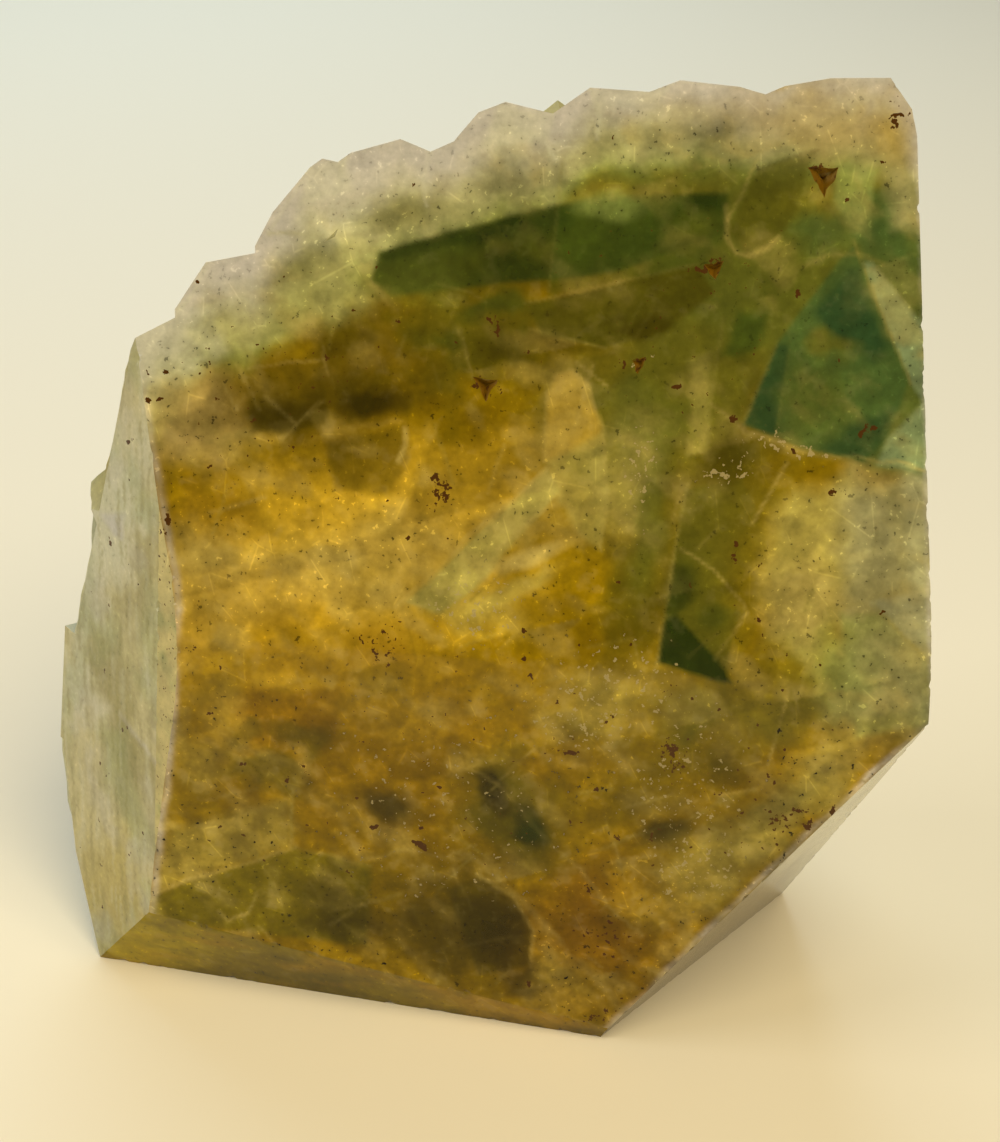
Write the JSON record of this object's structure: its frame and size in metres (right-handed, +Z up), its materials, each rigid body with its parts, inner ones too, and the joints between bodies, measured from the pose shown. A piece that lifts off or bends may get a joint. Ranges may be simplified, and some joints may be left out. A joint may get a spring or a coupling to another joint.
{
  "type": "polished fluorite",
  "caption": "Free-standing fluorite freeform with polished flat facets in front and a natural skin of cubic crystals on the back and along the top.",
  "frame": {"origin": "on the surface it rests on, under the middle of its outline box", "axes": "+Z up, -Y towards the viewer of the polished front, +X to that viewer's right"},
  "size_m": [0.092, 0.0508, 0.0989],
  "materials": {
    "fluorite": "polished, with a natural frosted crystal skin at the back"
  },
  "bodies": {
    "root": {"fluorite": "fluorite"}
  },
  "joints": []
}
